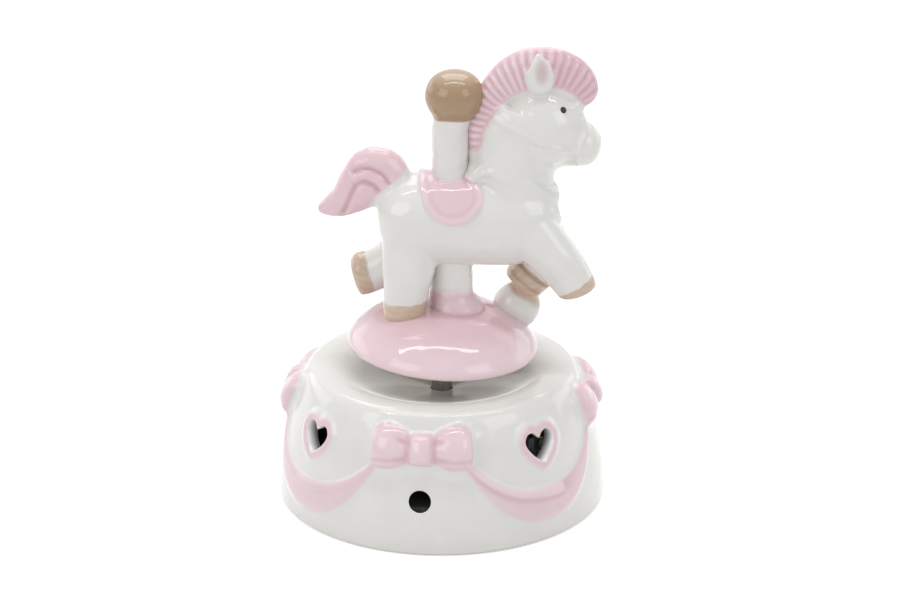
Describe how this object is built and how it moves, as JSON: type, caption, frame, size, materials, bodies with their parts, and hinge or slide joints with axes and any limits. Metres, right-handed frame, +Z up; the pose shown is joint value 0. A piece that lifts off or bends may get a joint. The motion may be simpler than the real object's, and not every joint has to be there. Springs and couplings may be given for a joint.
{
  "type": "wind-up music box",
  "caption": "Porcelain carousel horse on a pole and domed disc that turns on a bow-trimmed round base, driven by a key-wound pinned-cylinder movement.",
  "frame": {"origin": "centre of the base's foot ring, on the surface it stands on", "axes": "+Z up along the spindle; -Y is the front, where one bow and the vent hole are"},
  "size_m": [0.1012, 0.1004, 0.1422],
  "materials": {
    "porcelain_white": "gloss",
    "porcelain_pink": "gloss",
    "porcelain_tan": "gloss",
    "steel": "satin",
    "brass": "satin",
    "zinc": "satin",
    "plate_plastic": "matte",
    "fan_plastic": "matte"
  },
  "bodies": {
    "base": {"base_shell": "porcelain_white", "bow_front": "porcelain_pink", "bow_right": "porcelain_pink", "bow_back": "porcelain_pink", "bow_left": "porcelain_pink", "garlands": "porcelain_pink", "heart_rims": "porcelain_pink", "click_leaf": "steel", "click_rivet": "steel", "bottom_plate": "plate_plastic", "bedplate": "zinc", "movement_screws": "steel", "cylinder_bearing": "zinc", "comb": "steel", "comb_block": "zinc", "comb_screws": "steel", "governor_frame": "zinc", "governor_bridge": "zinc"},
    "carousel": {"turntable_disc": "porcelain_pink", "pole_collar": "porcelain_pink", "pole_lower": "porcelain_white", "pole_upper": "porcelain_white", "pole_finial": "porcelain_tan", "horse_torso": "porcelain_white", "horse_neck": "porcelain_white", "horse_head": "porcelain_white", "horse_ears": "porcelain_white", "horse_mane": "porcelain_pink", "horse_tail": "porcelain_pink", "saddle": "porcelain_pink", "leg_near_hind": "porcelain_white", "leg_far_hind": "porcelain_white", "leg_near_fore": "porcelain_white", "leg_far_fore": "porcelain_white", "hoof_prop": "porcelain_white", "spindle": "steel", "spindle_insert": "brass", "spring_barrel": "zinc", "barrel_cover": "zinc", "mainspring": "steel"},
    "winder": {"winding_arbor": "steel", "ratchet_wheel": "steel", "winding_key": "steel"},
    "cylinder": {"cylinder_drum": "brass", "cylinder_pins": "steel", "cylinder_arbor": "steel", "drive_pinion": "brass", "cylinder_gear": "brass"},
    "governor": {"governor_wheel": "brass"},
    "fan": {"governor_fan": "fan_plastic"}
  },
  "joints": [
    {"name": "turntable_spin", "type": "hinge", "parent": "base", "child": "carousel", "pos_m": [0, 0, 0.033], "axis": [0, 0, 1], "continuous": true},
    {"name": "key_wind", "type": "hinge", "parent": "base", "child": "winder", "pos_m": [0, 0, 0.0105], "axis": [0, 0, 1], "range_deg": [0, 1800]},
    {"name": "cylinder_spin", "type": "hinge", "parent": "base", "child": "cylinder", "pos_m": [0.0224, 0, 0.024], "axis": [1, 0, 0], "continuous": true},
    {"name": "governor_spin", "type": "hinge", "parent": "base", "child": "governor", "pos_m": [0.0325, 0.008, 0.024], "axis": [1, 0, 0], "continuous": true},
    {"name": "fan_spin", "type": "hinge", "parent": "base", "child": "fan", "pos_m": [0.0335, 0.0124, 0.024], "axis": [0, 0, 1], "continuous": true}
  ],
  "couplings": [
    {"joint": "cylinder_spin", "follows": "turntable_spin", "ratio": 4},
    {"joint": "governor_spin", "follows": "turntable_spin", "ratio": -12},
    {"joint": "fan_spin", "follows": "turntable_spin", "ratio": 144}
  ]
}
